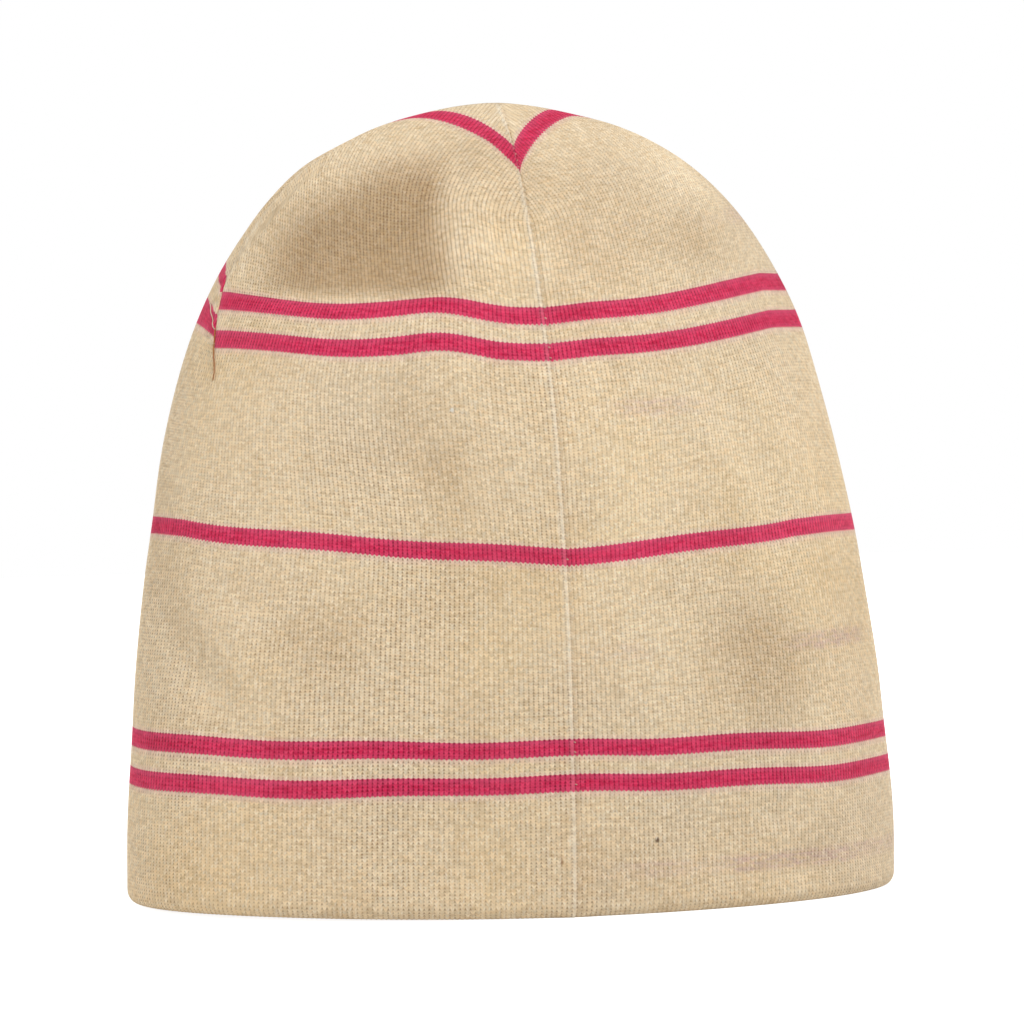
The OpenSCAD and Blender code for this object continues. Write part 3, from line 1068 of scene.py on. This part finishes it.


# In the tone tables, hole is the painted shade in the stitch holes and on the seams' sunk sides, seam is the
# painted highlight on the raised seam sides and on cream stitch legs, warm also gives the painted highlight
# on fuchsia stitch legs, and groove is how far painted shade darkens the grooves between wales.
CREAM = {
    "light": srgb(247, 225, 190),
    "mid": srgb(238, 211, 171),
    "dark": srgb(219, 188, 145),
    "cool": srgb(225, 204, 173),
    "warm": srgb(243, 212, 161),
    "hole": srgb(134, 86, 46),
    "seam": srgb(250, 238, 216),
    "edge": srgb(238, 196, 190),
    "streak": 0.4,
    "groove": 0.06,
}
FUCHSIA = {
    "light": srgb(236, 66, 108),
    "mid": srgb(220, 44, 86),
    "dark": srgb(190, 26, 62),
    "cool": srgb(208, 40, 86),
    "warm": srgb(236, 84, 118),
    "hole": srgb(100, 6, 28),
    "seam": srgb(232, 120, 146),
    "edge": srgb(224, 96, 132),
    "streak": 0.25,
    "groove": 0.24,
}
LINING_GHOST = srgb(196, 150, 158)
BROWN_SPOT = srgb(96, 64, 44)
PALE_SPOT = srgb(178, 138, 100)
LINT = srgb(255, 250, 240)
# Each mark's distance round the back from the seam, its height and its radius in mm, and its colour
MARKS = (
    ((23.6, 20.4, 0.75), BROWN_SPOT),
    ((-4.2, 15.6, 0.8), PALE_SPOT),
    ((2.2, 200.0, 0.6), BROWN_SPOT),
    ((-28.7, 138.9, 0.6), LINT),
    ((-23.0, 201.0, 0.5), LINT),
)


def back_point(s, z):
    """The point on the hat's back at a distance round from the seam and a height, in metres."""
    ring = level_ring(z)
    return tuple(float(np.interp(s, ring["s"], ring[k])) * MM for k in "xy") + (z * MM,)


def add_marks(sh, where, colour):
    """Small spots and specks of lint that the yarn has caught."""
    ragged = sh.noise(where, 900.0, 2.0)
    for (s, z, radius), tone in MARKS:
        distance = sh.line(ragged, radius * MM, sh.vector("DISTANCE", where, back_point(s, z)))
        colour = sh.mix(sh.ramp(distance, radius * MM, 1.9 * radius * MM, 0.85, 0.0), colour, tone)
    return colour


def add_ghosts(sh, where, streak, colour):
    """The lining's stripes, faintly seen through the shell where the two layers touch."""
    x, _, z = sh.split(where)
    touching = sh.times(sh.ramp(sh.noise(where, 21.0, 2.0), 0.42, 0.6), sh.ramp(x, 0.0, 0.035))
    for level in LINING_STRIPES:
        low, high = level * MM, (level + STRIPE) * MM
        rise = sh.ramp(z, low - MM, low + MM)
        fall = sh.ramp(z, high - MM, high + MM, 1.0, 0.0)
        share = sh.times(sh.times(rise, fall), touching)
        share = sh.times(share, sh.ramp(streak, 0.4, 0.62, 0.1, 0.45))
        colour = sh.mix(share, colour, LINING_GHOST)
    return colour


def knit_material(name, tones, looseness=0.22, hole_depth=0.78, layer="shell"):
    """Jersey knit in one yarn: stitches with painted shade in their holes and grooves and painted highlights
    on their legs, mottled yarn, and on the shell painted shade and light in the dents and folds.
    """
    sh = Shader(name)
    knit = stitches(sh, looseness)
    where = sh.object_place()
    x, _, z = sh.split(where)
    streak = sh.noise(sh.join_xyz(sh.times(knit["u"], 0.32), knit["v"], 1.0), 0.9, 4.0, 0.65)
    patch = sh.noise(where, 42.0, 3.0, 0.5)
    broad = sh.noise(where, 14.0, 2.0, 0.5)
    fuzziness = sh.noise(where, 30.0, 2.0)
    crisp = sh.times(sh.ramp(fuzziness, 0.35, 0.65, 0.5, 1.0), sh.ramp(x, -0.004, 0.012, 1.0, 0.72))
    crisp = sh.times(crisp, sh.ramp(z, 0.196, 0.216, 1.0, 0.45))
    hole = sh.times(knit["hole"], crisp)
    colour = sh.mix(sh.ramp(streak, 0.36, 0.64), tones["mid"], tones["light"])
    colour = sh.mix(sh.ramp(streak, 0.46, 0.3, 0.0, tones["streak"]), colour, tones["dark"])
    colour = sh.mix(sh.ramp(patch, 0.45, 0.75, 0.0, 0.4), colour, tones["dark"])
    colour = sh.mix(sh.ramp(broad, 0.5, 0.7, 0.0, 0.45), colour, tones["cool"])
    colour = sh.mix(sh.ramp(broad, 0.5, 0.3, 0.0, 0.4), colour, tones["warm"])
    if layer == "shell":
        raised, sunk, _ = sh.uv("Seam")
        from_low, from_high, _ = sh.uv("Edge")
        ragged = sh.times(sh.noise(sh.join_xyz(knit["u"], knit["v"], 2.0), 0.7, 2.0), 1.6)
        under = sh.ramp(sh.minus(from_high, ragged), -0.6, 1.8, 0.45, 0.0)
        over = sh.ramp(sh.minus(from_low, ragged), -0.8, 0.9, 0.4, 0.0)
        colour = sh.mix(sh.math("MAXIMUM", under, over), colour, tones["edge"])
        # Painted highlight on the raised side of each seam, patchy with the yarn's streaks, and a little
        # painted shade on its sunk side.
        raised = sh.times(raised, sh.ramp(streak, 0.3, 0.6, 0.25, 0.6))
        colour = sh.mix(raised, colour, tones["seam"])
        colour = sh.mix(sh.times(sunk, 0.1), colour, tones["hole"])
        if tones is CREAM:
            colour = add_ghosts(sh, where, streak, colour)
            colour = add_marks(sh, where, colour)
    # Painted shade in the stitch holes, in a brown tone.
    colour = sh.mix(sh.times(hole, hole_depth), colour, tones["hole"])
    # Painted highlights on some stitch legs.
    shiny = tones["seam"] if tones is CREAM else tones["warm"]
    colour = sh.mix(sh.times(knit["glint"], 0.6), colour, shiny)
    # A random tone for each stitch, painted shade in the grooves between wales, and a light painted highlight
    # along the middle of each leg.
    shade = sh.line(sh.white(knit["cell"]), 0.2, 0.9)
    shade = sh.times(shade, sh.line(knit["groove"], -tones["groove"], 1.0))
    shade = sh.times(shade, sh.line(knit["leg"], 0.06, 0.96))
    colour = sh.vector("SCALE", colour, shade)
    if layer == "shell":
        # Painted shade in the dent and folds, warm in tone, and painted light where the amount is below zero.
        colour = sh.paint_warm_shade(colour, sh.uv("PaintedShadeAndLight")[0])
    fuzz = sh.noise(where, 2600.0, 2.0)
    height = sh.math("ADD", knit["height"], sh.times(fuzz, 0.25))
    return sh.surface(colour, 0.88, height, 0.0003, 0.6, 0.06)


def thread_material(name, tones):
    """Twisted sewing thread."""
    sh = Shader(name)
    where = sh.object_place()
    x, y, z = sh.split(where)
    twist = sh.math("SINE", sh.times(sh.math("ADD", z, sh.math("ADD", x, y)), 9000.0))
    spread = sh.noise(where, 700.0, 2.0)
    colour = sh.mix(spread, tones["light"], tones["dark"])
    # Painted shade and highlight in stripes along the twist, over the twist's bump.
    colour = sh.vector("SCALE", colour, sh.line(twist, 0.08, 0.95))
    return sh.surface(colour, 0.8, sh.line(twist, 0.5, 0.5), 0.00008, 0.6, 0.15)


# ---------------------------------------------------------------- the scene


def put_camera():
    """A long lens two metres away, a little to the left of the back seam, rolled a touch."""
    azimuth, elevation, roll = math.radians(-15.41), math.radians(3.0), math.radians(0.72)
    distance = 2.0
    right = Vector((math.cos(azimuth), math.sin(azimuth), 0))
    level = math.cos(elevation)
    towards = Vector((math.sin(azimuth) * level, -math.cos(azimuth) * level, math.sin(elevation)))
    up = towards.cross(right)
    rolled_right = right * math.cos(roll) - up * math.sin(roll)
    rolled_up = right * math.sin(roll) + up * math.cos(roll)
    target = Vector((0, 0, 0.10779)) + rolled_right * 0.002234
    data = bpy.data.cameras.new("camera")
    data.sensor_width = 36.0
    field_width = 1024 * 0.2819 * MM
    data.lens = data.sensor_width * distance / field_width
    data.clip_end = 50.0
    camera = bpy.data.objects.new("camera", data)
    rotation = Matrix((rolled_right, rolled_up, towards)).transposed().to_4x4()
    camera.matrix_world = Matrix.Translation(target + towards * distance) @ rotation
    bpy.context.scene.collection.objects.link(camera)
    bpy.context.scene.camera = camera


def area_light(name, location, size, power):
    """A round soft light that faces the middle of the hat."""
    data = bpy.data.lights.new(name, "AREA")
    data.shape = "DISK"
    data.size = size
    data.energy = power
    light = bpy.data.objects.new(name, data)
    light.location = location
    aim = Vector((0, 0, 0.11)) - Vector(location)
    light.rotation_euler = aim.to_track_quat("-Z", "Y").to_euler()
    bpy.context.scene.collection.objects.link(light)


def put_studio():
    """Soft lights in a white room. The camera sees the room brighter than the light that it casts."""
    world = bpy.data.worlds.new("studio")
    world.use_nodes = True
    tree = world.node_tree
    seen = tree.nodes["Background"]
    seen.inputs["Color"].default_value = (1.0, 1.0, 1.0, 1.0)
    seen.inputs["Strength"].default_value = 1.0
    cast = tree.nodes.new("ShaderNodeBackground")
    cast.inputs["Color"].default_value = (1.0, 0.99, 0.97, 1.0)
    cast.inputs["Strength"].default_value = 0.16
    ray = tree.nodes.new("ShaderNodeLightPath")
    choose = tree.nodes.new("ShaderNodeMixShader")
    tree.links.new(ray.outputs["Is Camera Ray"], choose.inputs[0])
    tree.links.new(cast.outputs[0], choose.inputs[1])
    tree.links.new(seen.outputs[0], choose.inputs[2])
    tree.links.new(choose.outputs[0], tree.nodes["World Output"].inputs["Surface"])
    bpy.context.scene.world = world
    area_light("key", (0.25, -1.0, 1.9), 0.5, 22.5)
    area_light("fill", (-0.9, -1.7, 0.5), 1.2, 2.5)
    area_light("left_fill", (-1.9, -0.4, 0.9), 1.0, 12.0)
    area_light("right_fill", (1.8, -0.2, 0.9), 1.0, 13.0)
    area_light("front_fill", (-0.4, 1.6, 1.2), 1.4, 14.0)


def put_floor():
    half = 1.5
    mesh = bpy.data.meshes.new("floor")
    corners = [(-half, -half, 0), (half, -half, 0), (half, half, 0), (-half, half, 0)]
    mesh.from_pydata(corners, [], [(0, 1, 2, 3)])
    floor = bpy.data.objects.new("floor", mesh)
    bpy.context.scene.collection.objects.link(floor)
    sh = Shader("floor_paper")
    grain = sh.noise(sh.object_place(), 60.0, 2.0)
    colour = sh.mix(grain, srgb(196, 196, 195), srgb(202, 202, 201))
    paper = sh.surface(colour, 0.9, grain, 0.0001, 0.1, 0.0)
    glow = next(n for n in paper.node_tree.nodes if n.type == "BSDF_PRINCIPLED")
    glow.inputs["Emission Color"].default_value = (1.0, 1.0, 1.0, 1.0)
    ray = paper.node_tree.nodes.new("ShaderNodeLightPath")
    sh.put(glow.inputs["Emission Strength"], sh.line(ray.outputs["Is Camera Ray"], 0.7, 0.2))
    mesh.materials.append(paper)


def add_piece(obj, material, nodes):
    obj.data.materials.append(material)
    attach(obj, "root")
    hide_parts(*nodes)


SEAM_WIDTH = 8.0
SHELL_SEAM_INSET = 2.0
LINING_SEAM_INSET = 3.25
SEAM_STOP = {"back": 216.0, "side": 217.0}


def hidden_allowance(shell, past, low, high, inset):
    """A seam's allowance between the layers, with the overlock thread round its edges."""
    line = seam_line(shell, past, low, high, inset)
    return [allowance_strip(line, SEAM_WIDTH, 0.7), overlock_loops(line, SEAM_WIDTH, 0.13, 2.4)]


def seam_piece(name, parts):
    points, faces = join(parts)
    return make_mesh(name, points, faces)


def gathers(shell, past, low, high):
    """Short stitches of the dart's thread that pull the fabric in front of the dart."""
    parts = []
    for k, reach in ((0, 1.5), (1, 1.1), (2, 1.8)):
        parts.append(rungs(shell, past, low + k * 1.1, high, 3.3, -2.0 - 0.9 * k, reach, 0.07))
    return parts


def crossing_thread(shell, past):
    """A slack thread that lies across the pulled stripe in front of the left dart."""
    starts = (-8.5, 168.5)
    ends = (-0.6, 161.0)
    path = []
    for t in np.linspace(0, 1, 12):
        aside = starts[0] + (ends[0] - starts[0]) * t
        z = starts[1] + (ends[1] - starts[1]) * t + 0.8 * math.sin(math.pi * t)
        line = seam_line(shell, past, z - 4, z + 4, -0.16, aside, shell.xyz)
        heights = np.array([at[2] for at, _, _ in line])
        path.append([np.interp(z, heights, [at[k] for at, _, _ in line]) for k in range(3)])
    return tube(path, np.full(len(path), 0.13), 6)


def add_seams(shell, thread):
    low = FOLD_HEIGHT + 1
    shell_seams = (
        ("back_seam", shell.s, low, SEAM_STOP["back"]),
        ("front_dart", shell.past_front, BACK_DART_START - 2, SEAM_STOP["back"]),
        ("left_dart", -shell.past_left, SIDE_DART_START + 3, SEAM_STOP["side"]),
        ("right_dart", shell.past_right, SIDE_DART_START + 3, SEAM_STOP["side"]),
    )
    for name, past, foot, top in shell_seams:
        parts = hidden_allowance(shell, past, foot, top, SHELL_SEAM_INSET)
        if name == "back_seam":
            parts.append(rungs(shell, past, low, 214, 2.2, 0.2, 0.42, 0.12))
        elif name == "left_dart":
            parts.append(rungs(shell, past, foot, 200, 1.8, -0.3, 0.6, 0.1))
            parts += gathers(shell, past, foot - 8, 160)
            parts.append(crossing_thread(shell, past))
        else:
            parts.append(rungs(shell, past, foot, 202, 2.2, 0.0, 0.6, 0.11))
        add_piece(seam_piece(name, parts), thread, [name])
        parts = hidden_allowance(shell, past, foot, top - 3, LINING_SEAM_INSET)
        add_piece(seam_piece("lining_" + name, parts), thread, ["lining_" + name])


def crown_tack(thread):
    """A few turns of thread, pulled tight, that tie the two crowns together."""
    turns, per_turn = 5, 26
    low, high = HEIGHT - LINING_OUTER + 0.35, HEIGHT - LAYER - 0.75
    path = []
    for k in range(turns * per_turn + 1):
        t = k / (turns * per_turn)
        angle = 2 * math.pi * turns * t
        radius = 3.3 - 2.4 * t
        z = low + (high - low) * (0.5 + 0.35 * math.sin(angle * 2.5))
        path.append((radius * math.cos(angle), radius * math.sin(angle), z))
    points, faces = tube(path, 0.3, 6)
    add_piece(make_mesh("crown_tack", points, faces), thread, ["crown_tack"])


def thread_end(shell, rust):
    """The loose end of the left dart's thread. It hangs below the dart's foot, close to the fabric."""
    rows = [r for r in range(len(shell.xyz)) if 142 <= shell.xyz[r, 0, 2] <= 155]
    path = []
    for k, r in enumerate(reversed(rows)):
        aside = -0.4 + 0.25 * math.sin(k * 0.9) + 0.05 * k
        order = np.argsort(-shell.past_left[r])
        at = [np.interp(aside, -shell.past_left[r][order], shell.xyz[r, order, i]) for i in range(3)]
        nearest = int(np.argmin(np.abs(shell.past_left[r] + aside)))
        path.append(np.array(at) + shell.normal[r, nearest] * (0.2 + 0.03 * k))
    taper = np.linspace(0.2, 0.13, len(path))
    points, faces = tube(path, taper, 7)
    add_piece(make_mesh("thread_end", points, faces), rust, ["thread_end"])


def build():
    put_camera()
    put_studio()
    put_floor()
    shell = Shell()
    shell.finish()

    cream = knit_material("cream_knit", CREAM)
    fuchsia = knit_material("fuchsia_knit", FUCHSIA, 0.24, 0.9)
    lining_cream = knit_material("lining_knit", CREAM, layer="lining")
    lining_fuchsia = knit_material("lining_fuchsia", FUCHSIA, 0.24, 0.75, layer="lining")
    thread = thread_material("seam_thread", {"light": srgb(238, 228, 205), "dark": srgb(214, 196, 164)})
    rust = thread_material("loose_thread", {"light": srgb(196, 122, 62), "dark": srgb(150, 82, 38)})

    add_piece(hem_fold_mesh(shell), cream, ["hem_fold"])
    for name in shell.spans:
        band = crown_tip_mesh(shell) if name == "crown_tip" else shell_band(shell, name)
        pink = "stripe" in name
        add_piece(band, fuchsia if pink else cream, [name])

    lining = [("lining_hem", FOLD_HEIGHT, LINING_STRIPES[0])]
    between = ("lining_lower", "lining_middle", "lining_upper")
    for k, z in enumerate(LINING_STRIPES):
        lining.append((f"lining_stripe_{k + 1}", z, z + STRIPE))
        if k < len(between):
            lining.append((between[k], z + STRIPE, LINING_STRIPES[k + 1]))
    for name, low, high in lining:
        pink = "stripe" in name
        band = lining_band(name, low, high)
        add_piece(band, lining_fuchsia if pink else lining_cream, [name])
    add_piece(lining_crown_mesh(LINING_STRIPES[-1] + STRIPE), lining_cream, ["lining_crown"])
    add_seams(shell, thread)
    crown_tack(thread)
    thread_end(shell, rust)


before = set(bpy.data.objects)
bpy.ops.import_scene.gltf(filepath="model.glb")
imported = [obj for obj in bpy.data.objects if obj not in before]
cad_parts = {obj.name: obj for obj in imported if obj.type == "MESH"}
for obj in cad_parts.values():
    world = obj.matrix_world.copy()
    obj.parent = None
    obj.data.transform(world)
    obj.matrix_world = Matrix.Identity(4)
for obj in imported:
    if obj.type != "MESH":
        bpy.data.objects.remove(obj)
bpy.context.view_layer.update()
build()
bpy.context.scene.view_settings.view_transform = "Standard"
